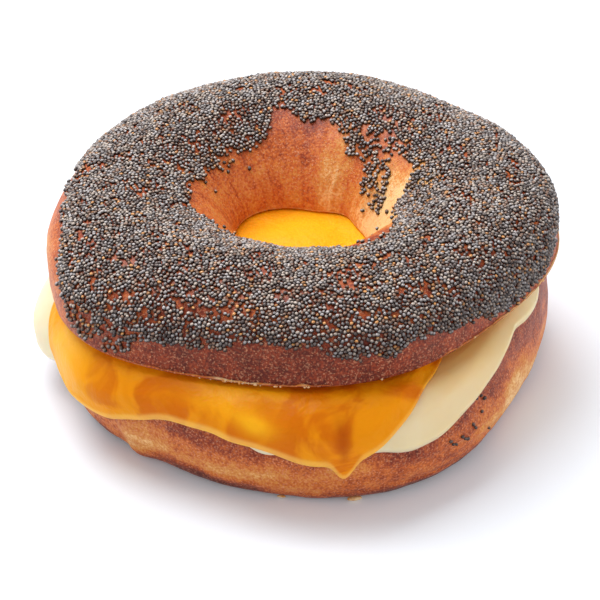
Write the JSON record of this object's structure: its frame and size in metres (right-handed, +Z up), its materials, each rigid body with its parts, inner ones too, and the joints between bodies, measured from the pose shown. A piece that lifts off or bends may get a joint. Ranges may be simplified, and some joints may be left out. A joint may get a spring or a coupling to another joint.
{
  "type": "filled bagel",
  "caption": "Ring-shaped bread roll with poppy seeds, cut level and filled with a melted orange cheese slice over a soft white layer that hang out at the side.",
  "frame": {"origin": "Under the middle of the whole, on the surface the lower half stands on.", "axes": "+Z up, -Y to the front where the cheese hangs lowest, +X to the right of a person looking at that front."},
  "size_m": [0.115, 0.1158, 0.0475],
  "materials": {
    "seeded_crust": "red-brown baked crust almost covered with slate-black poppy seeds",
    "orange_cheese": "soft melted processed cheese, smooth and satin, slightly translucent",
    "soft_white": "smooth moist cream-white layer, slightly translucent",
    "bread_crust": "boiled and baked crust, golden tan to red-brown, with fine wrinkles and pale specks"
  },
  "bodies": {
    "root": {"crown": "seeded_crust", "cheddar_slice": "orange_cheese", "white_layer": "soft_white", "heel": "bread_crust"}
  },
  "joints": []
}
